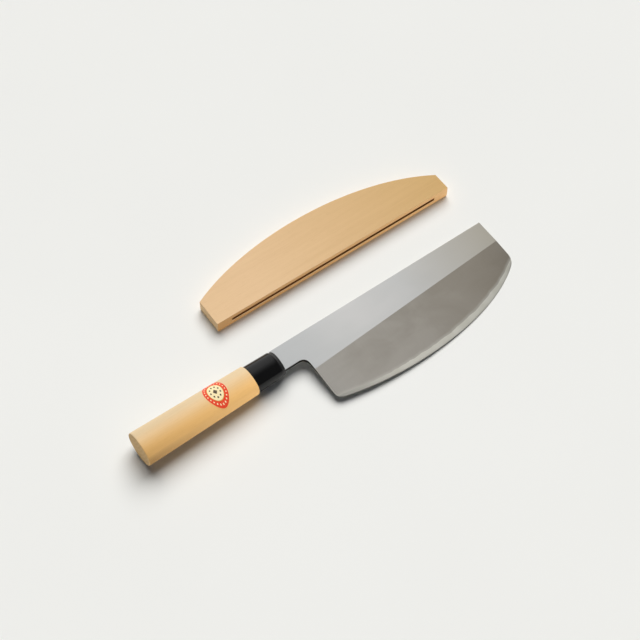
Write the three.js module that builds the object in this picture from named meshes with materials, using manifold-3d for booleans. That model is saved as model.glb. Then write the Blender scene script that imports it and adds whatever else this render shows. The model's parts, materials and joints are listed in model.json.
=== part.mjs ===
// Sushi-roll knife: a broad single-bevel blade on a wooden grip, lying on its side, with the wooden
// sheath for its edge lying apart beside the spine. Millimetres, +Z up.
//
// The knife is built with the tip end at x = 0, the spine at y = 0, the edge towards -Y and the blade's
// flat back at z = 0. It is then tipped so that it rests on the handle's underside and on the tip corner.
// The sheath is built with the tip end of its mouth at x = 0, y = 0 and its underside at z = 0.
import * as THREE from 'three';
import { mergeVertices } from 'three/addons/utils/BufferGeometryUtils.js';
import Module from 'manifold-3d';

const wasm = await Module();
wasm.setup();

// Clearances
const fitGap = 0.3;
const weldGap = 0.1;
const glueLine = 0.1;

// Blade outline
const bladeLength = 211.5;
const heelDepth = 69.3;
const heelCornerLength = 6;
const heelCornerDepth = 8;
const heelPullLength = 56;
const heelPullDepth = 15.7;
const tipPullLength = 48;
const tipPullDepth = 28.8;
const tipDepth = 55.6;
const tipCornerLength = 12;
const tipCornerDepth = 17.5;
const neckLength = 21.8;
const neckHeight = 21.7;
const neckFillet = 6;

// Blade section
const heelThickness = 3.2;
const tipThickness = 2;
const edgeThickness = 0.3;
const flatWidthAtHeel = 35.4;
const flatWidthAtTip = 24.1;
const steelThickness = 0.4;

// Tang
const tangLength = 84;
const tangHeight = 13;
const tangEndHeight = 7;

// Handle, with its axis set below the spine
const handleAxisDepth = 12.3;
const gripLength = 110;
const buttHalfHeight = 15.7;
const buttHalfThickness = 13.8;
const buttChamfer = 0.8;
const gripFrontHalfHeight = 14;
const gripFrontHalfThickness = 12.3;
const gripFrontRound = 1;
const ridgeAngle = THREE.MathUtils.degToRad(144);
const ridgeSpread = THREE.MathUtils.degToRad(55);
const ridgeRise = 0.09;

// Ferrule and the seal in its mouth
const ferruleLength = 26.8;
const ferruleBackHalfHeight = 12.9;
const ferruleBackHalfThickness = 11.35;
const ferruleFrontHalfHeight = 12.45;
const ferruleFrontHalfThickness = 10.95;
const ferruleFrontRound = 1.2;
const ferruleWall = 2.2;
const tenonSetback = 4;
const sealFlange = 1;
const sealFlangeInset = 0.8;
const sealFlangeRound = 0.4;
const sealStemLength = 4;
const sealStemInset = 3.2;

// Label on the grip
const labelSetback = 33;
const labelLength = 18.5;
const labelWidth = 24;
const labelThickness = 0.2;
const labelAngle = THREE.MathUtils.degToRad(85);

// Sheath
const sheathMouthDepth = 37.2;
const slotEndClearance = 4.5;
const slotEdgeClearance = 1;
const sheathEndWall = 15.1;
const sheathArcSpread = 13.3;
const sheathArcWall = 13.1;
const sheathHeelDrop = 4.2;
const sheathTipDrop = 0.5;
const lowerLeafThickness = 5;
const spacerThickness = 3.2;
const upperLeafThickness = 4.2;

// Lie of the knife on the table, and place of the sheath's mouth beside it
const restRoll = THREE.MathUtils.degToRad(3);
const sheathSetback = 1.7;
const sheathDistance = 42.8;
const sheathTurn = THREE.MathUtils.degToRad(-1.4);

// Mesh fineness
const edgeSteps = 36;
const cornerSteps = 6;
const sectionSteps = 40;
const cutMargin = 8;

// Stations along the knife, from the tip back to the butt
const heelX = -bladeLength;
const shoulderX = heelX - neckLength;
const tangEndX = shoulderX - tangLength;
const sealFrontX = shoulderX - fitGap;
const sealBackX = sealFrontX - sealFlange;
const ferruleFrontX = sealBackX - fitGap;
const ferruleBackX = ferruleFrontX - ferruleLength;
const stemEndX = ferruleFrontX - sealStemLength;
const tenonFrontX = stemEndX - tenonSetback;
const gripFrontX = ferruleBackX - fitGap;
const buttX = gripFrontX - gripLength;
const axisY = -handleAxisDepth;
const axisZ = heelThickness / 2;

// Curve of the cutting edge, from the heel corner to the tip corner
const edgeCurve = new THREE.CubicBezierCurve(
  new THREE.Vector2(heelX + heelCornerLength, -heelDepth),
  new THREE.Vector2(heelX + heelCornerLength + heelPullLength, -heelDepth - heelPullDepth),
  new THREE.Vector2(-tipCornerLength - tipPullLength, -tipDepth - tipPullDepth),
  new THREE.Vector2(-tipCornerLength, -tipDepth),
);
const tipSlope = tipPullDepth / tipPullLength;
const heelSlope = heelPullDepth / heelPullLength;

function toSolid(geometry) {
  geometry.deleteAttribute('normal');
  geometry.deleteAttribute('uv');
  const merged = mergeVertices(geometry);
  return new wasm.Manifold(new wasm.Mesh({
    numProp: 3,
    vertProperties: Float32Array.from(merged.attributes.position.array),
    triVerts: Uint32Array.from(merged.index.array),
  }));
}

function toGeometry(solid) {
  const mesh = solid.getMesh();
  const geometry = new THREE.BufferGeometry();
  geometry.setAttribute('position', new THREE.BufferAttribute(mesh.vertProperties, 3));
  geometry.setIndex(new THREE.BufferAttribute(mesh.triVerts, 1));
  geometry.computeVertexNormals();
  return geometry;
}

// Plate of the given outline between two heights.
function plate(points, bottom, top) {
  const geometry = new THREE.ExtrudeGeometry(new THREE.Shape(points), {
    depth: top - bottom,
    bevelEnabled: false,
  });
  return toSolid(geometry.translate(0, 0, bottom));
}

// Box between two corners.
function block(low, high) {
  const size = new THREE.Vector3().subVectors(high, low);
  const middle = new THREE.Vector3().addVectors(low, high).divideScalar(2);
  const geometry = new THREE.BoxGeometry(size.x, size.y, size.z);
  return toSolid(geometry.translate(middle.x, middle.y, middle.z));
}

// Skin through convex rings of equal count, given in the order of rising x.
function loft(rings) {
  const count = rings[0].length;
  const corners = rings.flat();
  const faces = [];
  for (let row = 0; row < rings.length - 1; row += 1) {
    for (let i = 0; i < count; i += 1) {
      const here = row * count + i;
      const next = row * count + (i + 1) % count;
      faces.push(here, next, here + count);
      faces.push(next, next + count, here + count);
    }
  }
  const last = (rings.length - 1) * count;
  for (let i = 1; i < count - 1; i += 1) {
    faces.push(0, i + 1, i);
    faces.push(last, last + i, last + i + 1);
  }
  const geometry = new THREE.BufferGeometry().setFromPoints(corners);
  geometry.setIndex(faces);
  return toSolid(geometry);
}

// Chestnut section of the handle: an oval with one ridge, on the upper side towards the edge.
function handleRing(x, halfHeight, halfThickness) {
  const step = 2 * Math.PI / sectionSteps;
  const ring = [];
  for (let i = 0; i < sectionSteps; i += 1) {
    const angle = ridgeAngle + i * step;
    const fromRidge = Math.min(i, sectionSteps - i) * step;
    const swell = 1 + ridgeRise * Math.max(0, 1 - fromRidge / ridgeSpread) ** 2;
    const y = axisY + halfHeight * swell * Math.cos(angle);
    const z = axisZ + halfThickness * swell * Math.sin(angle);
    ring.push(new THREE.Vector3(x, y, z));
  }
  return ring;
}

// Quarter-round front rim, as rings that shrink towards the front face.
function roundedFront(frontX, halfHeight, halfThickness, radius) {
  const rings = [];
  for (let i = 0; i <= cornerSteps; i += 1) {
    const angle = i / cornerSteps * Math.PI / 2;
    const inset = radius * (1 - Math.cos(angle));
    const x = frontX - radius * (1 - Math.sin(angle));
    rings.push(handleRing(x, halfHeight - inset, halfThickness - inset));
  }
  return rings;
}

function bladeLowerOutline() {
  const heelCorner = new THREE.QuadraticBezierCurve(
    new THREE.Vector2(heelX, -heelDepth + heelCornerDepth),
    new THREE.Vector2(heelX, -heelDepth + heelCornerLength * heelSlope),
    edgeCurve.v0,
  );
  const tipCorner = new THREE.QuadraticBezierCurve(
    edgeCurve.v3,
    new THREE.Vector2(0, -tipDepth + tipCornerLength * tipSlope),
    new THREE.Vector2(0, -tipDepth + tipCornerDepth),
  );
  return [
    ...heelCorner.getPoints(cornerSteps),
    ...edgeCurve.getPoints(edgeSteps).slice(1),
    ...tipCorner.getPoints(cornerSteps).slice(1),
  ];
}

function tangOutline(grow) {
  const front = tangHeight / 2 + grow;
  const end = tangEndHeight / 2 + grow;
  return [
    new THREE.Vector2(shoulderX, axisY + front),
    new THREE.Vector2(tangEndX - grow, axisY + end),
    new THREE.Vector2(tangEndX - grow, axisY - end),
    new THREE.Vector2(shoulderX, axisY - front),
  ];
}

// Space under the flat and the bevel: the blade's plates are trimmed to it.
function groundSpace() {
  const start = new THREE.Vector2(tangEndX - cutMargin, edgeCurve.v0.y);
  const heel = new THREE.Vector2(heelX, edgeCurve.v0.y);
  const end = new THREE.Vector2(cutMargin, edgeCurve.v3.y + (tipCornerLength + cutMargin) * tipSlope);
  const stations = [start, heel, ...edgeCurve.getPoints(edgeSteps), end];
  const rings = stations.map((edge) => {
    const share = Math.min(1, -edge.x / bladeLength);
    const flatZ = tipThickness + (heelThickness - tipThickness) * share;
    const flatY = -flatWidthAtTip - (flatWidthAtHeel - flatWidthAtTip) * share;
    const fall = (flatZ - edgeThickness) / (flatY - edge.y);
    const beyondY = edge.y - edgeThickness / fall;
    return [
      new THREE.Vector3(edge.x, beyondY, -cutMargin),
      new THREE.Vector3(edge.x, cutMargin, -cutMargin),
      new THREE.Vector3(edge.x, cutMargin, flatZ),
      new THREE.Vector3(edge.x, flatY, flatZ),
      new THREE.Vector3(edge.x, beyondY, 0),
    ];
  });
  return loft(rings);
}

function bladeCladding() {
  const fillet = new THREE.QuadraticBezierCurve(
    new THREE.Vector2(heelX - neckFillet, -neckHeight),
    new THREE.Vector2(heelX, -neckHeight),
    new THREE.Vector2(heelX, -neckHeight - neckFillet),
  );
  const outline = [
    new THREE.Vector2(0, 0),
    new THREE.Vector2(shoulderX, 0),
    ...tangOutline(0),
    new THREE.Vector2(shoulderX, -neckHeight),
    ...fillet.getPoints(cornerSteps),
    ...bladeLowerOutline(),
  ];
  const steelBed = block(
    new THREE.Vector3(heelX - weldGap, -bladeLength, -cutMargin),
    new THREE.Vector3(cutMargin, cutMargin, steelThickness + weldGap),
  );
  const blank = plate(outline, 0, heelThickness + cutMargin);
  return blank.intersect(groundSpace()).subtract(steelBed);
}

function edgeSteel() {
  const outline = [
    new THREE.Vector2(0, 0),
    new THREE.Vector2(heelX, 0),
    ...bladeLowerOutline(),
  ];
  return plate(outline, 0, steelThickness).intersect(groundSpace());
}

// Half sizes of the ferrule's outside at x, less an inset.
function ferruleRing(x, inset) {
  const share = (x - ferruleBackX) / ferruleLength;
  const halfHeight = THREE.MathUtils.lerp(ferruleBackHalfHeight, ferruleFrontHalfHeight, share);
  const halfThickness = THREE.MathUtils.lerp(ferruleBackHalfThickness, ferruleFrontHalfThickness, share);
  return handleRing(x, halfHeight - inset, halfThickness - inset);
}

function ferrule() {
  const outside = loft([
    ferruleRing(ferruleBackX, 0),
    ...roundedFront(ferruleFrontX, ferruleFrontHalfHeight, ferruleFrontHalfThickness, ferruleFrontRound),
  ]);
  const tenonSocket = loft([
    ferruleRing(ferruleBackX - cutMargin, ferruleWall),
    ferruleRing(tenonFrontX + fitGap, ferruleWall),
  ]);
  const stemSocket = loft([
    ferruleRing(ferruleBackX, sealStemInset),
    ferruleRing(ferruleFrontX + cutMargin, sealStemInset),
  ]);
  return outside.subtract(tenonSocket).subtract(stemSocket);
}

function neckSeal() {
  const flangeHalfHeight = ferruleFrontHalfHeight - sealFlangeInset;
  const flangeHalfThickness = ferruleFrontHalfThickness - sealFlangeInset;
  const flange = loft([
    handleRing(sealBackX, flangeHalfHeight, flangeHalfThickness),
    ...roundedFront(sealFrontX, flangeHalfHeight, flangeHalfThickness, sealFlangeRound),
  ]);
  const stem = loft([
    ferruleRing(stemEndX, sealStemInset + fitGap),
    ferruleRing(sealBackX + sealFlange / 2, sealStemInset + fitGap),
  ]);
  const slot = block(
    new THREE.Vector3(stemEndX - cutMargin, axisY - tangHeight / 2 - fitGap, -fitGap),
    new THREE.Vector3(sealFrontX + cutMargin, axisY + tangHeight / 2 + fitGap, heelThickness + fitGap),
  );
  return flange.add(stem).subtract(slot);
}

// Rings of the grip's tapered outside, standing off from the wood.
function gripRings(standOff) {
  return [
    handleRing(buttX + buttChamfer, buttHalfHeight + standOff, buttHalfThickness + standOff),
    handleRing(
      gripFrontX - gripFrontRound,
      gripFrontHalfHeight + standOff,
      gripFrontHalfThickness + standOff,
    ),
  ];
}

function handleGrip() {
  const front = roundedFront(gripFrontX, gripFrontHalfHeight, gripFrontHalfThickness, gripFrontRound);
  const outside = loft([
    handleRing(buttX, buttHalfHeight - buttChamfer, buttHalfThickness - buttChamfer),
    gripRings(0)[0],
    ...front,
  ]);
  const tenon = loft([
    ferruleRing(gripFrontX - cutMargin, ferruleWall + fitGap),
    ferruleRing(tenonFrontX, ferruleWall + fitGap),
  ]);
  const tangHole = plate(tangOutline(fitGap), -fitGap, heelThickness + fitGap);
  return outside.add(tenon).subtract(tangHole);
}

// Oval patch that lies on the grip, centred on the side that faces away from the edge.
function handleLabel() {
  const skin = loft(gripRings(fitGap + labelThickness)).subtract(loft(gripRings(fitGap)));
  const oval = new THREE.Shape();
  oval.absellipse(0, 0, labelLength / 2, labelWidth / 2, 0, 2 * Math.PI);
  const punch = new THREE.ExtrudeGeometry(oval, {
    depth: 2 * buttHalfHeight,
    bevelEnabled: false,
    curveSegments: sectionSteps,
  });
  punch.rotateX(labelAngle - Math.PI / 2);
  punch.translate(gripFrontX - labelSetback, axisY, axisZ);
  return skin.intersect(toSolid(punch));
}

// A blade point on the sheath when it is worn, in the sheath's own frame.
function onSheath(bladePoint) {
  return new THREE.Vector2(
    bladePoint.x - slotEndClearance - sheathEndWall,
    -bladePoint.y - sheathMouthDepth,
  );
}

function sheathOutline() {
  const length = bladeLength + 2 * (slotEndClearance + sheathEndWall);
  const heelPull = onSheath(edgeCurve.v1).add(new THREE.Vector2(-sheathArcSpread, sheathArcWall));
  const tipPull = onSheath(edgeCurve.v2).add(new THREE.Vector2(sheathArcSpread, sheathArcWall));
  const back = new THREE.CubicBezierCurve(
    new THREE.Vector2(-length, onSheath(edgeCurve.v0).y - sheathHeelDrop),
    heelPull,
    tipPull,
    new THREE.Vector2(0, onSheath(edgeCurve.v3).y - sheathTipDrop),
  );
  return [
    new THREE.Vector2(0, 0),
    new THREE.Vector2(-length, 0),
    ...back.getPoints(edgeSteps),
  ];
}

// Room for the blade between the leaves, open at the mouth.
function slotOutline() {
  const heelEndX = heelX - slotEndClearance;
  const heelTurn = heelCornerLength + slotEndClearance;
  const heelCorner = new THREE.QuadraticBezierCurve(
    new THREE.Vector2(heelEndX, -heelDepth + heelCornerDepth),
    new THREE.Vector2(heelEndX, -heelDepth + heelTurn * heelSlope),
    edgeCurve.v0,
  );
  const tipEnd = new THREE.Vector2(
    slotEndClearance,
    -tipDepth + (tipCornerLength + slotEndClearance) * tipSlope,
  );
  const floor = [
    ...heelCorner.getPoints(cornerSteps),
    ...edgeCurve.getPoints(edgeSteps).slice(1),
    tipEnd,
  ];
  const deepened = floor.map((point) => onSheath(point).add(new THREE.Vector2(0, slotEdgeClearance)));
  return [
    new THREE.Vector2(onSheath(tipEnd).x, -cutMargin),
    new THREE.Vector2(deepened[0].x, -cutMargin),
    ...deepened,
  ];
}

const spacerZ = lowerLeafThickness + glueLine;
const upperLeafZ = spacerZ + spacerThickness + glueLine;

function sheathLowerLeaf() {
  return plate(sheathOutline(), 0, lowerLeafThickness);
}

function sheathSpacer() {
  const strip = plate(sheathOutline(), spacerZ, spacerZ + spacerThickness);
  return strip.subtract(plate(slotOutline(), 0, upperLeafZ));
}

function sheathUpperLeaf() {
  return plate(sheathOutline(), upperLeafZ, upperLeafZ + upperLeafThickness);
}

function addPiece(group, name, solid, color, roughness, metalness) {
  const material = new THREE.MeshStandardMaterial({ color, roughness, metalness });
  const mesh = new THREE.Mesh(toGeometry(solid), material);
  mesh.name = name;
  group.add(mesh);
}

// Tilt at which the lowest point of the handle's rims and that of the rolled blade are level.
function restPitch() {
  const roll = new THREE.Euler(restRoll, 0, 0);
  const ferruleFront = ferruleFrontX - ferruleFrontRound;
  const rims = [
    ...gripRings(0),
    ferruleRing(ferruleBackX, 0),
    handleRing(ferruleFront, ferruleFrontHalfHeight, ferruleFrontHalfThickness),
  ].flat();
  const back = bladeLowerOutline().map((point) => new THREE.Vector3(point.x, point.y, 0));
  [...rims, ...back].forEach((point) => point.applyEuler(roll));
  const tilts = back.map((low) => {
    const slopes = rims.map((rim) => (low.z - rim.z) / (low.x - rim.x));
    return Math.atan(Math.max(...slopes));
  });
  return Math.min(...tilts);
}

function buildKnife() {
  const knife = new THREE.Group();
  addPiece(knife, 'blade_cladding', bladeCladding(), 0xb8b9b7, 0.38, 1);
  addPiece(knife, 'edge_steel', edgeSteel(), 0xc6c6c2, 0.3, 1);
  addPiece(knife, 'neck_seal', neckSeal(), 0x101010, 0.45, 0);
  addPiece(knife, 'ferrule', ferrule(), 0x141414, 0.2, 0);
  addPiece(knife, 'handle_grip', handleGrip(), 0xe4c491, 0.6, 0);
  addPiece(knife, 'handle_label', handleLabel(), 0xd2462c, 0.55, 0);
  knife.rotation.set(restRoll, restPitch(), 0, 'YXZ');
  knife.position.z = -new THREE.Box3().setFromObject(knife, true).min.z;
  return knife;
}

function buildSheath() {
  const sheath = new THREE.Group();
  addPiece(sheath, 'sheath_lower_leaf', sheathLowerLeaf(), 0xd6b27c, 0.65, 0);
  addPiece(sheath, 'sheath_spacer', sheathSpacer(), 0xcda872, 0.65, 0);
  addPiece(sheath, 'sheath_upper_leaf', sheathUpperLeaf(), 0xdfbf8d, 0.65, 0);
  sheath.position.set(-sheathSetback, sheathDistance, 0);
  sheath.rotation.z = sheathTurn;
  return sheath;
}

// The origin is under the middle of the whole object's box.
const layout = new THREE.Group();
layout.add(buildKnife(), buildSheath());
const box = new THREE.Box3().setFromObject(layout, true);
const middle = box.getCenter(new THREE.Vector3());
layout.position.set(-middle.x, -middle.y, -box.min.z);

const group = new THREE.Group();
group.add(layout);

export default group;
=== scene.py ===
"""Sushi-roll knife beside the wooden sheath for its edge: finished surfaces, studio light and camera.

The knife's pieces are built in its own frame, as in the CAD: tip end at x = 0, spine at y = 0, edge towards
-Y, flat back at z = 0. The sheath's frame has the tip end of its mouth at the origin and its underside at
z = 0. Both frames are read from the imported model, so each piece lies where its CAD node lies.
"""
import json
import math

import bmesh
import bpy
from mathutils import Matrix, Vector, noise


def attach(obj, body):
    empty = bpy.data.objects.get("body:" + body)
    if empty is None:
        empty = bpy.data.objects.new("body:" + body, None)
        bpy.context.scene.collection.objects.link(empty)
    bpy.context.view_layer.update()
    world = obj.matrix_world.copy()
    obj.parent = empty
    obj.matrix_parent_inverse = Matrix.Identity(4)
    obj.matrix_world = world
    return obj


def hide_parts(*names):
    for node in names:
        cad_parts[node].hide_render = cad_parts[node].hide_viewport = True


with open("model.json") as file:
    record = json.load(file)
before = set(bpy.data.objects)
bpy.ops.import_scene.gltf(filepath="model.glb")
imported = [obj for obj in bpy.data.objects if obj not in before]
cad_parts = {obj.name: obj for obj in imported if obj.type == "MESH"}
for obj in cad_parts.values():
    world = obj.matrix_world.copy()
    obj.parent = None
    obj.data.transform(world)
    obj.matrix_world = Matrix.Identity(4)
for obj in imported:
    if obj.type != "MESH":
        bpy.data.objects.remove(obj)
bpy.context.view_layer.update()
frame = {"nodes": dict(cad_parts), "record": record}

MM = 0.001

# Blade outline
BLADE_LENGTH = 211.5 * MM
HEEL_DEPTH = 69.3 * MM
HEEL_CORNER_LENGTH = 6 * MM
HEEL_CORNER_DEPTH = 8 * MM
HEEL_PULL_LENGTH = 56 * MM
HEEL_PULL_DEPTH = 15.7 * MM
TIP_PULL_LENGTH = 48 * MM
TIP_PULL_DEPTH = 28.8 * MM
TIP_DEPTH = 55.6 * MM
TIP_CORNER_LENGTH = 12 * MM
TIP_CORNER_DEPTH = 17.5 * MM
TIP_CORNER_PULL = 0.85
NECK_LENGTH = 21.8 * MM
NECK_HEIGHT = 21.7 * MM
NECK_FILLET = 7.5 * MM

# Blade section
HEEL_THICKNESS = 3.2 * MM
TIP_THICKNESS = 2 * MM
EDGE_THICKNESS = 0.3 * MM
FLAT_WIDTH_AT_HEEL = 35.4 * MM
FLAT_WIDTH_AT_TIP = 24.1 * MM
SPINE_ROUND = 0.12 * MM
STEEL_THICKNESS = 0.54 * MM
STEEL_WAVES = ((0.045 * MM, 90), (0.022 * MM, 240))
HONED_WIDTH = 0.3 * MM
HONED_EDGE = 0.27 * MM
HOLLOW_RIM = 4 * MM
HOLLOW_SLOPE_WIDTH = 7 * MM
HOLLOW_DEPTH = 0.14 * MM

# Tang
TANG_LENGTH = 84 * MM
TANG_HEIGHT = 13 * MM
TANG_END_HEIGHT = 7 * MM

# Handle
HANDLE_AXIS_DEPTH = 12.3 * MM
GRIP_LENGTH = 110 * MM
BUTT_HALF_HEIGHT = 15.7 * MM
BUTT_HALF_THICKNESS = 13.8 * MM
BUTT_ROUND = 0.9 * MM
GRIP_FRONT_HALF_HEIGHT = 14 * MM
GRIP_FRONT_HALF_THICKNESS = 12.3 * MM
GRIP_FRONT_ROUND = 1 * MM
RIDGE_ANGLE = math.radians(144)
RIDGE_SPREAD = math.radians(55)
GRIP_RIDGE = (0.09, math.radians(7))
FERRULE_RIDGE = (0.09, math.radians(2.5))
FIT_GAP = 0.3 * MM
SEAT = 0.5 * MM

# Ferrule and the seal in its mouth
FERRULE_LENGTH = 25.4 * MM
FERRULE_BACK_HALF_HEIGHT = 12.9 * MM
FERRULE_BACK_HALF_THICKNESS = 11.35 * MM
FERRULE_FRONT_HALF_HEIGHT = 12.45 * MM
FERRULE_FRONT_HALF_THICKNESS = 10.95 * MM
FERRULE_FRONT_ROUND = 1.2 * MM
SEAL_FLANGE = 2.4 * MM
SEAL_FLANGE_INSET = 1 * MM
SEAL_FLANGE_ROUND = 0.4 * MM

# Label on the grip
LABEL_SETBACK = 33.5 * MM
LABEL_LENGTH = 19.6 * MM
LABEL_WIDTH = 25 * MM
LABEL_STAND_OFF = 0.03 * MM
LABEL_THICKNESS = 0.12 * MM
LABEL_ANGLE = math.radians(80)

# Print of the label, in shares of its oval: dots as count, reach and size, line as inner and outer reach
LABEL_RIM_DOTS = (22, 0.84, 0.05)
LABEL_MIDDLE_DOTS = (9, 0.42, 0.07)
LABEL_LINE = (0.63, 0.67)
LABEL_LOZENGE = 0.2

# Sheath
SHEATH_MOUTH_DEPTH = 37.2 * MM
SLOT_END_CLEARANCE = 4.5 * MM
SLOT_EDGE_CLEARANCE = 1 * MM
SHEATH_END_WALL = 15.1 * MM
SHEATH_ARC_SPREAD = 13.3 * MM
SHEATH_ARC_WALL = 13.1 * MM
SHEATH_HEEL_DROP = 4.2 * MM
SHEATH_TIP_DROP = 0.5 * MM
LOWER_LEAF_TOP = 5.05 * MM
UPPER_LEAF_BOTTOM = 8.35 * MM
UPPER_LEAF_TOP = 12.6 * MM
SHEATH_ROUND = 0.25 * MM
SHEATH_UNDER_ROUND = 0.9 * MM
SLOT_LIP = 0.2 * MM

# Middle of the sheath behind its mouth, and how far a wall of the slot looks towards it at least
SHEATH_MIDDLE = 10 * MM
SLOT_FACING = 0.3 * MM

# Noise lies mostly between low and high, and most colours change over its middle
NOISE_LOW = 0.3
NOISE_HIGH = 0.7
MIDDLE_LOW = 0.35
MIDDLE_HIGH = 0.65

# Grain of the woods, in features per metre, and the tones of their noise
FIBRE_DENSITY = (40, 1100, 1100)
PORE_DENSITY = (130, 3200, 3200)
PORE_LOW = 0.6
PORE_HIGH = 0.74
PORE_SHARE = 0.28
PORE_TINT = (0.72, 0.64, 0.55, 1)
WOOD_TONE_LOW = 0.36
WOOD_TONE_HIGH = 0.64
RINGS_TONE_LOW = 0.25
RINGS_TONE_HIGH = 0.75
RINGS_DENSITY = 95
RINGS_ASIDE = 26 * MM
RINGS_BELOW = 18 * MM

# Where the grip's painted shade changes, as distances from its axis, and how deep the painted shade on the
# sides towards the butt goes
GRIP_EDGE_SHADE = (6 * MM, -11 * MM)
GRIP_SPINE_SHADE = (2 * MM, 8 * MM)
GRIP_UNDER_SHADE = (-1 * MM, -9 * MM)
GRIP_SHADED_SIDE = (0, -11 * MM)
GRIP_SIDE_SHADE_DEPTH = (0.15, 0.52)
GRIP_SHADED_FLANK = (-13.5 * MM, -16 * MM)
GRIP_FLANK_SHADE_DEPTH = (0, 0.5)

# Where the sheath's painted shade changes, as shares of its length
SHEATH_SHADE_SHARE = 0.8
MOUTH_UNSHADED_SHARE = 0.1

# Where the blade's painted shade and light and the haze beside the weld change along it, and how far they go
FLAT_NECK_SHADE_X = -150 * MM
FLAT_NECK_SHADE = 0.8
FLAT_TIP_SHADE_X = -100 * MM
BEVEL_HEEL_SHADE_X = -170 * MM
BEVEL_HEEL_SHADE = 0.5
BEVEL_TIP_SHADE_X = -160 * MM
BEVEL_TIP_SHADE = 0.6
EDGE_HEEL_SHADE_X = -140 * MM
WELD_HAZE_WIDTH = 3.2 * MM
WELD_HAZE = 0.6

# Relief of the surfaces
WOOD_RELIEF = 0.05 * MM
FINE_RELIEF = 0.004 * MM
HONED_RELIEF = 0.003 * MM
DARK_WALL_RELIEF = 0.02 * MM
RESIN_RELIEF = 0.03 * MM
PAPER_RELIEF = 0.01 * MM

# Fineness of the meshes
EDGE_STEPS = 160
CORNER_STEPS = 12
ROUND_STEPS = 4
NECK_STEPS = 6
FLAT_STEPS = 4
BEVEL_STEPS = 14
BACK_STEPS = 24
BAND_STEPS = 4
SECTION_STEPS = 144
LABEL_RINGS = 12
LABEL_SPOKES = 72
SMOOTH_ANGLE = math.radians(30)
MERGE_DISTANCE = 0.0001 * MM

# Tilts of a normal that tell walls, rims and sides from faces
WALL_TILT = 0.3
RIM_TILT = 0.8
SIDE_TILT = 0.8

# View of the photograph
CAMERA_ELEVATION = math.radians(58.196)
CAMERA_AZIMUTH = math.radians(37.05)
CAMERA_DISTANCE = 1204.4 * MM
CAMERA_TARGET = Vector((11.03, -3.13, 0)) * MM
CAMERA_LENS = 78.21

# Studio
FLOOR_SIZE = 40
KEY_AZIMUTH = math.radians(47)
KEY_ELEVATION = math.radians(55.5)
KEY_ANGLE = math.radians(52)
KEY_STRENGTH = 3.55
FILL_AZIMUTH = math.radians(-100)
FILL_ELEVATION = math.radians(3)
FILL_ANGLE = math.radians(6)
FILL_STRENGTH = 1.8
AMBIENT_RADIANCE = 0.04
AMBIENT_TINT = (0.75, 0.97, 1.3, 1)
BACKDROP_AZIMUTH = math.radians(112)
BACKDROP_ELEVATION = math.radians(25)
BACKDROP_END = -0.1
BACKDROP_FULL = 0.8
BACKDROP_FALL = 2.2
BACKDROP_RISE = 2.8
BACKDROP_LOW = 0.22
BACKDROP_HIGH = 1.55
HORIZON_RADIANCE = 0.86
HORIZON_HEIGHT = 0.01
HORIZON_FADE = 0.06

# Stations along the knife, from the tip back to the butt
HEEL_X = -BLADE_LENGTH
SHOULDER_X = HEEL_X - NECK_LENGTH
TANG_END_X = SHOULDER_X - TANG_LENGTH
SEAL_FRONT_X = SHOULDER_X - FIT_GAP
SEAL_BACK_X = SEAL_FRONT_X - SEAL_FLANGE
FERRULE_FRONT_X = SEAL_BACK_X - FIT_GAP
FERRULE_BACK_X = FERRULE_FRONT_X - FERRULE_LENGTH
GRIP_FRONT_X = FERRULE_BACK_X - FIT_GAP
BUTT_X = GRIP_FRONT_X - GRIP_LENGTH
AXIS_Y = -HANDLE_AXIS_DEPTH
AXIS_Z = HEEL_THICKNESS / 2

# Cutting edge, from the heel corner to the tip corner
EDGE = [
    Vector((HEEL_X + HEEL_CORNER_LENGTH, -HEEL_DEPTH)),
    Vector((HEEL_X + HEEL_CORNER_LENGTH + HEEL_PULL_LENGTH, -HEEL_DEPTH - HEEL_PULL_DEPTH)),
    Vector((-TIP_CORNER_LENGTH - TIP_PULL_LENGTH, -TIP_DEPTH - TIP_PULL_DEPTH)),
    Vector((-TIP_CORNER_LENGTH, -TIP_DEPTH)),
]
HEEL_SLOPE = HEEL_PULL_DEPTH / HEEL_PULL_LENGTH
TIP_SLOPE = TIP_PULL_DEPTH / TIP_PULL_LENGTH
HEEL_CORNER = [
    Vector((HEEL_X, -HEEL_DEPTH + HEEL_CORNER_DEPTH)),
    Vector((HEEL_X, -HEEL_DEPTH + HEEL_CORNER_LENGTH * HEEL_SLOPE)),
    EDGE[0],
]
TIP_POINT = Vector((0, -TIP_DEPTH + TIP_CORNER_LENGTH * TIP_SLOPE))
TIP_END = Vector((0, -TIP_DEPTH + TIP_CORNER_DEPTH))
TIP_CORNER = [
    EDGE[3],
    EDGE[3].lerp(TIP_POINT, TIP_CORNER_PULL),
    TIP_END.lerp(TIP_POINT, TIP_CORNER_PULL),
    TIP_END,
]
FILLET = [
    Vector((HEEL_X - NECK_FILLET, -NECK_HEIGHT)),
    Vector((HEEL_X, -NECK_HEIGHT)),
    Vector((HEEL_X, -NECK_HEIGHT - NECK_FILLET)),
]


# Curves and outlines

def lerp(start, end, share):
    return start + (end - start) * share


def bezier(controls, share):
    """Point on a Bezier curve of any degree, by repeated blending."""
    while len(controls) > 1:
        controls = [a.lerp(b, share) for a, b in zip(controls, controls[1:])]
    return controls[0]


def bezier_points(controls, steps):
    return [bezier(controls, step / steps) for step in range(steps + 1)]


def distance_to_line(point, corners):
    """Distance from a point to an open line through the corners."""
    distances = []
    for start, end in zip(corners, corners[1:]):
        along = end - start
        share = (point - start).dot(along) / along.length_squared
        nearest = start + along * min(1, max(0, share))
        distances.append((point - nearest).length)
    return min(distances)


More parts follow.
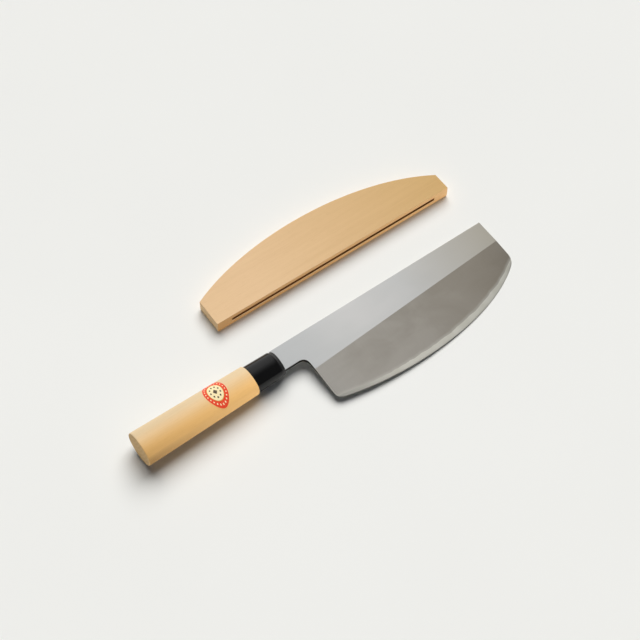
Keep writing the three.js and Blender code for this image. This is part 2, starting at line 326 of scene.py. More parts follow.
def inset(points, distance):
    """Closed outline moved inwards by a distance, with its corners kept. The points run clockwise."""
    moved = []
    for before, here, after in zip(points[-1:] + points, points, points[1:] + points[:1]):
        arriving = (here - before).normalized()
        leaving = (after - here).normalized()
        inwards = Vector((arriving.y + leaving.y, -arriving.x - leaving.x)).normalized()
        slant = inwards.dot(Vector((leaving.y, -leaving.x)))
        moved.append(here + inwards * (distance / slant))
    return moved


# Meshes

def loft(rings):
    """Points and faces of a closed skin through rings of equal count."""
    count = len(rings[0])
    points = [point for ring in rings for point in ring]
    faces = [tuple(range(count))]
    for row in range(len(rings) - 1):
        for step in range(count):
            here = row * count + step
            there = row * count + (step + 1) % count
            faces.append((there, here, here + count, there + count))
    last = (len(rings) - 1) * count
    faces.append(tuple(reversed(range(last, last + count))))
    return points, faces


def closed_sheet(columns):
    """Points and faces of a closed skin. A column lists (x, y, top, bottom) in the order of falling y, and
    neighbouring columns are joined row by row as far as the shorter one goes."""
    upper = []
    lower = []
    rows = []
    for column in columns:
        rows.append(range(len(upper), len(upper) + len(column)))
        upper += [(x, y, top) for x, y, top, bottom in column]
        lower += [(x, y, bottom) for x, y, top, bottom in column]
    sheet = []
    for here, there in zip(rows, rows[1:]):
        for step in range(min(len(here), len(there)) - 1):
            sheet.append((here[step], here[step + 1], there[step + 1], there[step]))
    return upper + lower, close_over(sheet, len(upper))


def close_over(sheet, count):
    """Faces of a sheet, of its copy count points further on, and of the walls along its rim."""
    under = [tuple(corner + count for corner in reversed(face)) for face in sheet]
    edges = dict.fromkeys(
        (face[corner - 1], face[corner]) for face in sheet for corner in range(len(face))
    )
    walls = [(b, a, a + count, b + count) for a, b in edges if (b, a) not in edges]
    return sheet + under + walls


def make_mesh(name, points, faces):
    """Mesh with doubled points merged, faces turned outwards and smooth shading up to the smooth angle."""
    mesh = bpy.data.meshes.new(name)
    mesh.from_pydata([tuple(point) for point in points], [], faces)
    work = bmesh.new()
    work.from_mesh(mesh)
    bmesh.ops.remove_doubles(work, verts=work.verts, dist=MERGE_DISTANCE)
    bmesh.ops.dissolve_degenerate(work, edges=work.edges, dist=MERGE_DISTANCE)
    bmesh.ops.recalc_face_normals(work, faces=work.faces)
    work.to_mesh(mesh)
    work.free()
    mesh.polygons.foreach_set("use_smooth", [True] * len(mesh.polygons))
    mesh.set_sharp_from_angle(angle=SMOOTH_ANGLE)
    return mesh


def crease(mesh, height_at):
    """Marks the edges whose two ends lie on y = height_at(x) as sharp."""
    on_line = [abs(point.co.y - height_at(point.co.x)) < MERGE_DISTANCE for point in mesh.vertices]
    for edge in mesh.edges:
        if all(on_line[corner] for corner in edge.vertices):
            edge.use_edge_sharp = True


def keep_own_place(mesh):
    """Stores each point's place in the piece's own frame, for the grain of its material."""
    own = mesh.attributes.new("own_place", "FLOAT_VECTOR", "POINT")
    for point in mesh.vertices:
        own.data[point.index].vector = point.co


def stand_for(node, mesh, place, materials):
    """Adds a mesh as the finished form of one CAD node, on that node's body and with its material slot."""
    bodies = frame["record"]["behaviour"]["bodies"]
    body = next(name for name, members in bodies.items() if node in members)
    keep_own_place(mesh)
    mesh.transform(place)
    piece = bpy.data.objects.new("finished_" + node, mesh)
    bpy.context.scene.collection.objects.link(piece)
    for material in materials:
        mesh.materials.append(material)
    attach(piece, body)
    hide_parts(node)


# Frames of the knife and the sheath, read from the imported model

def placement(along, across, up, origin):
    place = Matrix((along, across, up)).transposed().to_4x4()
    place.translation = origin
    return place


def node_points(node):
    return [point.co for point in frame["nodes"][node].data.vertices]


def knife_place():
    back = next(mount for mount in frame["record"]["mounts"] if mount["name"] == "blade_back")
    up = -Vector(back["axis"]).normalized()
    along = Vector((up.z, 0, -up.x)).normalized()
    across = up.cross(along)
    points = node_points("edge_steel")
    origin = along * max(point.dot(along) for point in points)
    origin += across * max(point.dot(across) for point in points)
    origin += up * min(point.dot(up) for point in points)
    return placement(along, across, up, origin)


def sheath_place():
    points = node_points("sheath_lower_leaf")
    floor = [point for point in points if point.z < MERGE_DISTANCE]
    tip = min(floor, key=lambda point: point.y)
    heel = min(floor, key=lambda point: point.x)
    along = (tip - heel).normalized()
    up = Vector((0, 0, 1))
    return placement(along, up.cross(along), up, tip)


# Blade

def flat_share(x):
    return min(1, -x / BLADE_LENGTH)


def flat_line(x):
    """Line where the flat ends and the bevel begins."""
    return -lerp(FLAT_WIDTH_AT_TIP, FLAT_WIDTH_AT_HEEL, flat_share(x))


def flat_height(x):
    return lerp(TIP_THICKNESS, HEEL_THICKNESS, flat_share(x))


def bevel_fall(x, ground):
    """Slope of the bevel across the blade."""
    return (flat_height(x) - EDGE_THICKNESS) / (flat_line(x) - ground)


def face_height(x, y, ground):
    """Height of the ground face, where the bevel meets the edge at y = ground."""
    return flat_height(x) - max(0, flat_line(x) - y) * bevel_fall(x, ground)


def steel_top(x):
    """Height of the weld between the cladding and the hard steel, which wanders as forged steel does."""
    waves = [swing * noise.noise(Vector((x * pace, pace, 0))) for swing, pace in STEEL_WAVES]
    return STEEL_THICKNESS + sum(waves)


def blade_stations():
    """x, outline and full depth of the bevel, from the heel to the tip."""
    heel = [(p.x, p.y, EDGE[0].y) for p in bezier_points(HEEL_CORNER, CORNER_STEPS)]
    edge = [(p.x, p.y, p.y) for p in bezier_points(EDGE, EDGE_STEPS)]
    tip = [
        (p.x, p.y, EDGE[3].y + (p.x - EDGE[3].x) * TIP_SLOPE)
        for p in bezier_points(TIP_CORNER, CORNER_STEPS)
    ]
    return heel + edge[1:] + tip[1:]


def weld_line(x, outline, ground):
    """Where the weld comes out on the bevel, or the outline if it comes out below that."""
    return max(outline, ground + (steel_top(x) - EDGE_THICKNESS) / bevel_fall(x, ground))


SOFT_EDGES = [
    [Vector((0, 0)), Vector((SHOULDER_X, 0))],
    [Vector((SHOULDER_X, -NECK_HEIGHT))] + bezier_points(FILLET, CORNER_STEPS) + HEEL_CORNER[:1],
    [Vector((0, 0)), TIP_END],
]


def edge_drop(x, y):
    """How far the rounded rim lies below the face."""
    reach = min(distance_to_line(Vector((x, y)), line) for line in SOFT_EDGES)
    inside = max(0, SPINE_ROUND - reach)
    return SPINE_ROUND - math.sqrt(SPINE_ROUND**2 - inside**2)


def neck_rows(lower):
    """Rows from the spine down to the neck's lower edge, close together at both rims."""
    turns = [math.cos(step / ROUND_STEPS * math.pi / 2) for step in range(ROUND_STEPS + 1)]
    rim = [SPINE_ROUND * (1 - turn) for turn in turns] + [2 * SPINE_ROUND]
    spine = [-depth for depth in rim]
    middle = [lerp(-rim[-1], lower + rim[-1], step / NECK_STEPS) for step in range(1, NECK_STEPS)]
    return spine + middle + [lower + depth for depth in reversed(rim)]


def neck_columns():
    corners = [Vector((SHOULDER_X - SEAT, -NECK_HEIGHT))] + bezier_points(FILLET, CORNER_STEPS)[:-1]
    columns = []
    for corner in corners:
        rows = neck_rows(corner.y)
        columns.append([(corner.x, y, HEEL_THICKNESS - edge_drop(corner.x, y), 0) for y in rows])
    return columns


def cladding_columns():
    columns = []
    for x, outline, ground in blade_stations():
        shoulder = flat_line(x)
        weld = weld_line(x, outline, ground)
        neck_end = shoulder * (NECK_HEIGHT + NECK_FILLET) / FLAT_WIDTH_AT_HEEL
        rows = neck_rows(neck_end)
        rows += [lerp(neck_end, shoulder, step / FLAT_STEPS) for step in range(1, FLAT_STEPS + 1)]
        rows += [lerp(shoulder, weld, step / BEVEL_STEPS) for step in range(1, BEVEL_STEPS + 1)]
        bottom = steel_top(x)
        tops = [max(bottom, face_height(x, y, ground) - edge_drop(x, y)) for y in rows]
        columns.append([(x, y, top, bottom) for y, top in zip(rows, tops)])
    return columns


def tang():
    """Closed taper that runs into the handle, overlapping the neck's end."""
    front_x = SHOULDER_X + SEAT
    stations = [(TANG_END_X, TANG_END_HEIGHT / 2), (front_x, TANG_HEIGHT / 2)]
    return closed_sheet([
        [(x, AXIS_Y + half, HEEL_THICKNESS, 0), (x, AXIS_Y - half, HEEL_THICKNESS, 0)]
        for x, half in stations
    ])


def cladding_mesh():
    """Iron of the blade with its tang. Materials: 0 flat, 1 bevel, 2 rims and walls."""
    points, faces = closed_sheet(neck_columns() + cladding_columns())
    tang_points, tang_faces = tang()
    faces += [tuple(corner + len(points) for corner in face) for face in tang_faces]
    mesh = make_mesh("blade_cladding", points + tang_points, faces)
    crease(mesh, flat_line)
    for polygon in mesh.polygons:
        middle = polygon.center
        on_bevel = middle.x > HEEL_X and middle.y < flat_line(middle.x)
        if on_bevel and abs(polygon.normal.z) > WALL_TILT:
            polygon.material_index = 1
        # Walls and rims get the dark iron of painted shade
        elif abs(polygon.normal.z) < RIM_TILT:
            polygon.material_index = 2
    keep_weld_reach(mesh)
    return mesh


def keep_weld_reach(mesh):
    """Stores how far each point lies from the weld line towards the spine, for the haze beside it."""
    welds = {x: weld_line(x, outline, ground) for x, outline, ground in blade_stations()}
    reach = mesh.attributes.new("weld_reach", "FLOAT", "POINT")
    for point in mesh.vertices:
        nearest = min(welds, key=lambda x: abs(x - point.co.x))
        reach.data[point.index].value = point.co.y - welds[nearest]


def hollow(x, y, outline):
    """Depth of the shallow hollow ground into the back, inside a flat rim."""
    reach = min(-x, x - HEEL_X, -y, y - outline) - HOLLOW_RIM
    share = min(1, max(0, reach / HOLLOW_SLOPE_WIDTH))
    return HOLLOW_DEPTH * share * share * (3 - 2 * share)


def steel_columns():
    columns = []
    for x, outline, ground in blade_stations():
        weld = weld_line(x, outline, ground)
        band = weld - outline
        honed = min(HONED_WIDTH, band / BAND_STEPS)
        rows = [weld * step / BACK_STEPS for step in range(BACK_STEPS + 1)]
        rows += [lerp(weld, outline + honed, step / BAND_STEPS) for step in range(1, BAND_STEPS + 1)]
        tops = [min(steel_top(x), face_height(x, y, ground)) for y in rows]
        rows.append(outline)
        blunt = min(steel_top(x), face_height(x, outline, ground))
        tops.append(lerp(blunt, HONED_EDGE, honed / HONED_WIDTH))
        columns.append([(x, y, top, hollow(x, y, outline)) for y, top in zip(rows, tops)])
    return columns


def steel_mesh():
    return make_mesh("edge_steel", *closed_sheet(steel_columns()))


# Handle

def section_ring(x, half_height, half_thickness, ridge):
    """Oval with one ridge, on the upper side towards the edge. ridge gives its rise and softness."""
    turn = 2 * math.pi / SECTION_STEPS
    return [
        section_point(x, half_height, half_thickness, RIDGE_ANGLE + step * turn, ridge)
        for step in range(SECTION_STEPS)
    ]


def section_point(x, half_height, half_thickness, angle, ridge):
    rise, softness = ridge
    from_ridge = abs(math.remainder(angle - RIDGE_ANGLE, 2 * math.pi))
    blunted = math.hypot(from_ridge, softness) - softness
    swell = 1 + rise * max(0, 1 - blunted / RIDGE_SPREAD) ** 2
    y = AXIS_Y + half_height * swell * math.cos(angle)
    z = AXIS_Z + half_thickness * swell * math.sin(angle)
    return Vector((x, y, z))


def rounded_rim(rim_x, half_height, half_thickness, radius, ridge, facing):
    """Quarter-round rim between a ring on the side and a ring on the end face, which keep both flat up to the
    rim. facing is 1 for a front, -1 for a back."""
    rings = [section_ring(rim_x - facing * 2 * radius, half_height, half_thickness, ridge)]
    for step in range(ROUND_STEPS + 1):
        angle = step / ROUND_STEPS * math.pi / 2
        cut = radius * (1 - math.cos(angle))
        x = rim_x - facing * radius * (1 - math.sin(angle))
        rings.append(section_ring(x, half_height - cut, half_thickness - cut, ridge))
    rings.append(section_ring(rim_x, half_height - 2 * radius, half_thickness - 2 * radius, ridge))
    return rings


def grip_mesh():
    """Grip with rounded rims. Materials: 0 sides, 1 sawn ends."""
    back = rounded_rim(BUTT_X, BUTT_HALF_HEIGHT, BUTT_HALF_THICKNESS, BUTT_ROUND, GRIP_RIDGE, -1)
    front = rounded_rim(
        GRIP_FRONT_X, GRIP_FRONT_HALF_HEIGHT, GRIP_FRONT_HALF_THICKNESS, GRIP_FRONT_ROUND, GRIP_RIDGE, 1
    )
    mesh = make_mesh("handle_grip", *loft(back[::-1] + front))
    for polygon in mesh.polygons:
        if abs(polygon.normal.x) > SIDE_TILT:
            polygon.material_index = 1
    return mesh


def ferrule_mesh():
    back = section_ring(
        GRIP_FRONT_X - SEAT, FERRULE_BACK_HALF_HEIGHT, FERRULE_BACK_HALF_THICKNESS, FERRULE_RIDGE
    )
    front = rounded_rim(
        FERRULE_FRONT_X,
        FERRULE_FRONT_HALF_HEIGHT,
        FERRULE_FRONT_HALF_THICKNESS,
        FERRULE_FRONT_ROUND,
        FERRULE_RIDGE,
        1,
    )
    return make_mesh("ferrule", *loft([back] + front))


def seal_mesh():
    half_height = FERRULE_FRONT_HALF_HEIGHT - SEAL_FLANGE_INSET
    half_thickness = FERRULE_FRONT_HALF_THICKNESS - SEAL_FLANGE_INSET
    back = section_ring(FERRULE_FRONT_X - SEAT, half_height, half_thickness, FERRULE_RIDGE)
    front = rounded_rim(SEAL_FRONT_X, half_height, half_thickness, SEAL_FLANGE_ROUND, FERRULE_RIDGE, 1)
    return make_mesh("neck_seal", *loft([back] + front))


def grip_point(x, angle, stand_off):
    share = (x - BUTT_X) / GRIP_LENGTH
    half_height = lerp(BUTT_HALF_HEIGHT, GRIP_FRONT_HALF_HEIGHT, share) + stand_off
    half_thickness = lerp(BUTT_HALF_THICKNESS, GRIP_FRONT_HALF_THICKNESS, share) + stand_off
    return section_point(x, half_height, half_thickness, angle, GRIP_RIDGE)


def label_spot(ring, spoke):
    """Place on the oval label: -1 to 1 along the grip and round it."""
    reach = ring / LABEL_RINGS
    angle = spoke / LABEL_SPOKES * 2 * math.pi
    return reach * math.cos(angle), reach * math.sin(angle)


def label_point(spot, stand_off):
    """Point over the grip for a place on the label. The grip is taken as round for the bend."""
    x = GRIP_FRONT_X - LABEL_SETBACK + spot[0] * LABEL_LENGTH / 2
    bend = math.asin(spot[1] * LABEL_WIDTH / (BUTT_HALF_HEIGHT + GRIP_FRONT_HALF_THICKNESS))
    return grip_point(x, LABEL_ANGLE - bend, stand_off)


def label_mesh():
    """Oval of paper that follows the grip, with its flat places kept as UV coordinates."""
    spots = [(0, 0)]
    for ring in range(1, LABEL_RINGS + 1):
        spots += [label_spot(ring, spoke) for spoke in range(LABEL_SPOKES)]
    sheet = []
    for spoke in range(LABEL_SPOKES):
        after = (spoke + 1) % LABEL_SPOKES
        sheet.append((0, 1 + spoke, 1 + after))
        for ring in range(LABEL_RINGS - 1):
            inner = 1 + ring * LABEL_SPOKES
            outer = inner + LABEL_SPOKES
            sheet.append((inner + spoke, outer + spoke, outer + after, inner + after))
    upper = [label_point(spot, LABEL_STAND_OFF + LABEL_THICKNESS) for spot in spots]
    lower = [label_point(spot, LABEL_STAND_OFF) for spot in spots]
    mesh = make_mesh("handle_label", upper + lower, close_over(sheet, len(spots)))
    flat = mesh.uv_layers.new(name="flat")
    for loop in mesh.loops:
        spot = spots[loop.vertex_index % len(spots)]
        flat.data[loop.index].uv = (0.5 + spot[0] / 2, 0.5 + spot[1] / 2)
    return mesh


# Sheath

def on_sheath(blade_point):
    """A blade point on the sheath when it is worn, in the sheath's frame."""
    return Vector((
        blade_point.x - SLOT_END_CLEARANCE - SHEATH_END_WALL,
        -blade_point.y - SHEATH_MOUTH_DEPTH,
    ))


SHEATH_LENGTH = BLADE_LENGTH + 2 * (SLOT_END_CLEARANCE + SHEATH_END_WALL)
SHEATH_BACK = [
    Vector((-SHEATH_LENGTH, on_sheath(EDGE[0]).y - SHEATH_HEEL_DROP)),
    on_sheath(EDGE[1]) + Vector((-SHEATH_ARC_SPREAD, SHEATH_ARC_WALL)),
    on_sheath(EDGE[2]) + Vector((SHEATH_ARC_SPREAD, SHEATH_ARC_WALL)),
    Vector((0, on_sheath(EDGE[3]).y - SHEATH_TIP_DROP)),
]
SLOT_TIP_X = -SHEATH_END_WALL
SLOT_HEEL_X = SHEATH_END_WALL - SHEATH_LENGTH


def sheath_outline(lip):
    """Outline from the mouth's tip corner round to the tip end. The mouth lies back by lip at the slot."""
    mouth = [
        Vector((0, 0)),
        Vector((SLOT_TIP_X + SLOT_LIP, 0)),
        Vector((SLOT_TIP_X, lip)),
        Vector((SLOT_HEEL_X, lip)),
        Vector((SLOT_HEEL_X - SLOT_LIP, 0)),
        Vector((-SHEATH_LENGTH, 0)),
    ]
    return mouth + bezier_points(SHEATH_BACK, EDGE_STEPS)


def slot_floor():
    """Bottom of the slot, from the heel to the tip, just clear of the blade's edge."""
    heel_x = HEEL_X - SLOT_END_CLEARANCE
    heel_turn = HEEL_CORNER_LENGTH + SLOT_END_CLEARANCE
    heel_corner = [
        Vector((heel_x, -HEEL_DEPTH + HEEL_CORNER_DEPTH)),
        Vector((heel_x, -HEEL_DEPTH + heel_turn * HEEL_SLOPE)),
        EDGE[0],
    ]
    tip_turn = TIP_CORNER_LENGTH + SLOT_END_CLEARANCE
    tip_end = Vector((SLOT_END_CLEARANCE, -TIP_DEPTH + tip_turn * TIP_SLOPE))
    floor = bezier_points(heel_corner, CORNER_STEPS) + bezier_points(EDGE, EDGE_STEPS)[1:] + [tip_end]
    return [on_sheath(point) + Vector((0, SLOT_EDGE_CLEARANCE)) for point in floor]


def raised(outline, height):
    return [Vector((point.x, point.y, height)) for point in outline]


def leaf_mesh(name, outer, inner, rim):
    """Leaf from its outer face, with rims rounded to radius rim, to its inner face, with the slot's lip."""
    inwards = 1 if inner > outer else -1
    outline = sheath_outline(0)
    rings = []
    for step in range(ROUND_STEPS + 1):
        angle = step / ROUND_STEPS * math.pi / 2
        height = outer + inwards * rim * (1 - math.sin(angle))
        rings.append(raised(inset(outline, rim * (1 - math.cos(angle))), height))
    rings.append(raised(inset(outline, 2 * rim), outer))
    rings = rings[::-1]
    rings.append(raised(outline, inner - inwards * SLOT_LIP))
    rings.append(raised(sheath_outline(SLOT_LIP), inner))
    mesh = make_mesh(name, *loft(rings))
    dress_sheath(mesh, inwards)
    return mesh


def dress_sheath(mesh, inwards):
    """Picks each face's material: 0 outside, 1 along the mouth, 2 sawn end, 3 inside the slot, where walls
    look towards the middle. inwards is the way up or down to the slot, or 0 for the strip beside it."""
    middle = Vector((-SHEATH_LENGTH / 2, SHEATH_MIDDLE, 0))
    for polygon in mesh.polygons:
        normal = polygon.normal
        level = Vector((normal.x, normal.y, 0))
        if normal.z * inwards > SIDE_TILT or level.dot(polygon.center - middle) < -SLOT_FACING:
            polygon.material_index = 3
        elif normal.y < -SIDE_TILT:
            polygon.material_index = 1
        elif abs(normal.x) > SIDE_TILT and abs(normal.y) < WALL_TILT:
            polygon.material_index = 2


def spacer_mesh():
    """Filler strip round the slot."""
    floor = slot_floor()
    outline = [Vector((0, 0)), Vector((floor[-1].x, 0))] + floor[::-1]
    outline += [Vector((floor[0].x, 0)), Vector((-SHEATH_LENGTH, 0))]
    outline += bezier_points(SHEATH_BACK, EDGE_STEPS)
    rings = [raised(outline, LOWER_LEAF_TOP), raised(outline, UPPER_LEAF_BOTTOM)]
    mesh = make_mesh("sheath_spacer", *loft(rings))
    dress_sheath(mesh, 0)
    return mesh


# Shader helpers

def linear(red, green, blue):
    """Linear colour with alpha from 0 to 255 screen values, by the sRGB formula."""
    shares = [value / 255 for value in (red, green, blue)]
    return tuple(s / 12.92 if s <= 0.04045 else ((s + 0.055) / 1.055) ** 2.4 for s in shares) + (1,)


def add(tree, kind, inputs=None, **settings):
    """New node. inputs gives each socket a value or another node's output."""
    node = tree.nodes.new(kind)
    for name, value in settings.items():
        setattr(node, name, value)
    for socket, value in (inputs or {}).items():
        if isinstance(value, bpy.types.NodeSocket):
            tree.links.new(value, node.inputs[socket])
        else:
            node.inputs[socket].default_value = value
    return node


def new_material(name):
    material = bpy.data.materials.new(name)
    material.use_nodes = True
    tree = material.node_tree
    return material, tree, tree.nodes["Principled BSDF"]


def own_place(tree):
    """Coordinates in the piece's own frame, in metres."""
    return add(tree, "ShaderNodeAttribute", attribute_name="own_place").outputs["Vector"]


def along_axis(tree, place, axis):
    return add(tree, "ShaderNodeSeparateXYZ", {"Vector": place}).outputs[axis]


def grain(tree, place, density, detail=3, roughness=0.55, distortion=0):
    """Noise with so many features per metre along x, y and z."""
    stretched = add(tree, "ShaderNodeMapping", {"Vector": place, "Scale": density}).outputs["Vector"]
    inputs = {"Vector": stretched, "Scale": 1, "Detail": detail, "Roughness": roughness}
    inputs["Distortion"] = distortion
    return add(tree, "ShaderNodeTexNoise", inputs).outputs["Fac"]


def remap(tree, value, low, high, to_low, to_high, smooth=False):
    inputs = {"Value": value, "From Min": low, "From Max": high, "To Min": to_low, "To Max": to_high}
    kind = "SMOOTHSTEP" if smooth else "LINEAR"
    return add(tree, "ShaderNodeMapRange", inputs, interpolation_type=kind).outputs["Result"]


def shade(tree, value, centre, stretch, to_low=0, to_high=1, smooth=False):
    """Value that changes over a stretch, given as two distances from a centre."""
    start, end = stretch
    return remap(tree, value, centre + start, centre + end, to_low, to_high, smooth)


def maths(tree, operation, first, second=0.0):
    return add(tree, "ShaderNodeMath", {0: first, 1: second}, operation=operation).outputs["Value"]


def weighed(tree, parts):
    """Sum of values, each given with its weight."""
    terms = [maths(tree, "MULTIPLY", value, weight) for value, weight in parts]
    total = terms[0]
    for term in terms[1:]:
        total = maths(tree, "ADD", total, term)
    return total


def mixed(tree, share, first, second, mode="MIX"):
    """Mix of two colours. The node's sockets for colours are the ones numbered here."""
    inputs = {0: share, 6: first, 7: second}
    return add(tree, "ShaderNodeMix", inputs, data_type="RGBA", blend_type=mode).outputs[2]


def blend(tree, noise_value, first, second):
    """Colour that changes from first to second over the middle of the noise."""
    return mixed(tree, remap(tree, noise_value, MIDDLE_LOW, MIDDLE_HIGH, 0, 1), first, second)


def bumped(tree, shader, height, distance):
    bump = add(tree, "ShaderNodeBump", {"Height": height, "Distance": distance, "Strength": 1})
    tree.links.new(bump.outputs["Normal"], shader.inputs["Normal"])


def painted(tree, shader, colour, marks, roughness):
    """Links a colour, and marks that vary the roughness between two values."""
    tree.links.new(colour, shader.inputs["Base Color"])
    tree.links.new(remap(tree, marks, NOISE_LOW, NOISE_HIGH, *roughness), shader.inputs["Roughness"])


# Woods

def wood_body(tree, place, pale, deep, streaks):
    """Colour of straight-grained wood with its fibres along x. streaks is how many a metre holds."""
    clouds = grain(tree, place, density=(10, 40, 40), detail=2)
    growth = grain(tree, place, density=(3, streaks, streaks), detail=2, distortion=0.4)
    fibres = grain(tree, place, FIBRE_DENSITY, detail=4, roughness=0.65)
    tone = weighed(tree, ((clouds, 0.3), (growth, 0.35), (fibres, 0.35)))
    return mixed(tree, remap(tree, tone, WOOD_TONE_LOW, WOOD_TONE_HIGH, 0, 1), deep, pale)


def sand(tree, shader, place, colour):
    """Bare sanded finish: open pores drawn along the fibres, a dull sheen and a fine relief."""
    fibres = grain(tree, place, FIBRE_DENSITY, detail=4, roughness=0.65)
    pores = grain(tree, place, PORE_DENSITY, detail=2)
    flecks = remap(tree, pores, PORE_LOW, PORE_HIGH, 0, PORE_SHARE)
    flecked = mixed(tree, flecks, colour, PORE_TINT, "MULTIPLY")
    painted(tree, shader, flecked, fibres, roughness=(0.5, 0.64))
    shader.inputs["Specular IOR Level"].default_value = 0.35
    bumped(tree, shader, maths(tree, "ADD", fibres, pores), WOOD_RELIEF)


def saw(tree, shader, colour, fibres):
    """Sawn end grain: duller than the sanded sides."""
    painted(tree, shader, colour, fibres, roughness=(0.6, 0.75))
    shader.inputs["Specular IOR Level"].default_value = 0.25
    bumped(tree, shader, fibres, WOOD_RELIEF)


def grip_wood():
    """Pale wood with painted shade: deeper and more orange on the edge side, darker underneath and on the
    sides towards the butt, a little darker on the spine side.
    """
    material, tree, shader = new_material("grip_wood")
    place = own_place(tree)
    # Painted shade: tints that darken the spine side, deepen the edge side, and darken the sides towards the
    # butt and the underside
    spine_shade_tint = (0.9, 0.93, 0.97, 1)
    edge_shade_tint = (1.1, 0.89, 0.56, 1)
    butt_shade_tint = (0.4, 0.38, 0.34, 1)
    under_shade_tint = (0.48, 0.5, 0.54, 1)
    body = wood_body(tree, place, pale=linear(238, 208, 164), deep=linear(230, 199, 154), streaks=150)
    across = along_axis(tree, place, "Y")
    to_edge = shade(tree, across, AXIS_Y, GRIP_EDGE_SHADE, smooth=True)
    body = mixed(tree, to_edge, body, edge_shade_tint, "MULTIPLY")
    to_spine = shade(tree, across, AXIS_Y, GRIP_SPINE_SHADE, smooth=True)
    body = mixed(tree, to_spine, body, spine_shade_tint, "MULTIPLY")
    # Painted shade on the sides towards the butt, deepest low on the flank
    to_butt = remap(tree, along_axis(tree, place, "X"), GRIP_FRONT_X, BUTT_X, 0, 1)
    side = shade(tree, across, AXIS_Y, GRIP_SHADED_SIDE, *GRIP_SIDE_SHADE_DEPTH)
    flank = shade(tree, across, AXIS_Y, GRIP_SHADED_FLANK, *GRIP_FLANK_SHADE_DEPTH)
    painted_butt_shade = maths(tree, "MULTIPLY", to_butt, maths(tree, "ADD", side, flank))
    body = mixed(tree, painted_butt_shade, body, butt_shade_tint, "MULTIPLY")
    # Painted shade on the underside
    height = along_axis(tree, place, "Z")
    to_underside = shade(tree, height, AXIS_Z, GRIP_UNDER_SHADE, smooth=True)
    body = mixed(tree, to_underside, body, under_shade_tint, "MULTIPLY")
    sand(tree, shader, place, body)
    return material


def grip_end_grain():
    """Sawn end of the grip, with its growth rings round a centre outside the wood."""
    material, tree, shader = new_material("grip_end_grain")
    place = own_place(tree)
    heart = (0, -AXIS_Y - RINGS_ASIDE, -AXIS_Z - RINGS_BELOW)
    centred = add(tree, "ShaderNodeMapping", {"Vector": place, "Location": heart})
    rings = add(tree, "ShaderNodeTexWave", {
        "Vector": centred.outputs["Vector"],
        "Scale": RINGS_DENSITY,
        "Distortion": 1.2,
        "Detail": 2,
        "Detail Scale": 1.5,
    }, wave_type="RINGS", rings_direction="X").outputs["Fac"]
    fibres = grain(tree, place, density=(900, 1500, 1500))
    tone = weighed(tree, ((rings, 0.3), (fibres, 0.7)))
    pale = linear(219, 184, 131)
    deep = linear(207, 170, 115)
    share = remap(tree, tone, RINGS_TONE_LOW, RINGS_TONE_HIGH, 0, 1)
    saw(tree, shader, mixed(tree, share, deep, pale), fibres)
    return material


def sheath_wood():
    """Faces of the leaves, with painted shade that deepens them towards the tip end."""
    material, tree, shader = new_material("sheath_wood")
    place = own_place(tree)
    tip_shade_tint = (0.79, 0.74, 0.54, 1)
    body = wood_body(tree, place, pale=linear(231, 196, 153), deep=linear(224, 188, 145), streaks=260)
    # Painted shade: the faces darken towards the tip end, where the light falls off
    to_tip = remap(tree, along_axis(tree, place, "X"), -SHEATH_SHADE_SHARE * SHEATH_LENGTH, 0, 0, 1)
    sand(tree, shader, place, mixed(tree, to_tip, body, tip_shade_tint, "MULTIPLY"))
    return material


def sheath_mouth_wood():
    """Edge of the leaves along the mouth: the faces' wood, deeper and more orange as painted shade on faces
    turned to the front, and darker towards the heel end as painted shade too.
    """
    material, tree, shader = new_material("sheath_mouth_wood")
    place = own_place(tree)
    # Painted shade: darker towards the heel end
    heel_shade_tint = (0.62, 0.56, 0.48, 1)
    # Painted shade: the wood deeper and more orange than on the faces
    body = wood_body(tree, place, pale=linear(227, 182, 126), deep=linear(219, 172, 114), streaks=400)
    along = along_axis(tree, place, "X")
    to_heel = remap(tree, along, -MOUTH_UNSHADED_SHARE * SHEATH_LENGTH, -SHEATH_LENGTH, 0, 1)
    sand(tree, shader, place, mixed(tree, to_heel, body, heel_shade_tint, "MULTIPLY"))
    return material


def sheath_end_grain():
    """Sawn ends of the leaves."""
    material, tree, shader = new_material("sheath_end_grain")
    place = own_place(tree)
    fibres = grain(tree, place, density=(900, 1300, 1300))
    growth = grain(tree, place, density=(3, 500, 160), detail=2, distortion=0.4)
    tone = weighed(tree, ((growth, 0.5), (fibres, 0.5)))
    pale = linear(243, 211, 163)
    deep = linear(230, 193, 143)
    share = remap(tree, tone, WOOD_TONE_LOW, WOOD_TONE_HIGH, 0, 1)
    saw(tree, shader, mixed(tree, share, deep, pale), fibres)
    return material


def slot_wood():
    """Inside of the slot: the wood deeper and browner than outside, as painted shade of the narrow slot."""
    material, tree, shader = new_material("slot_wood")
    place = own_place(tree)
    # Painted shade: darker, browner wood inside the slot
    body = wood_body(tree, place, pale=linear(196, 134, 66), deep=linear(182, 121, 56), streaks=400)
    sand(tree, shader, place, body)
    return material


# Metals

def bare_metal(tree, shader, colour, marks, roughness, relief):
    """Metal whose marks vary its roughness and stand out by a fine relief."""
    painted(tree, shader, colour, marks, roughness)
    shader.inputs["Metallic"].default_value = 1
    bumped(tree, shader, marks, relief)


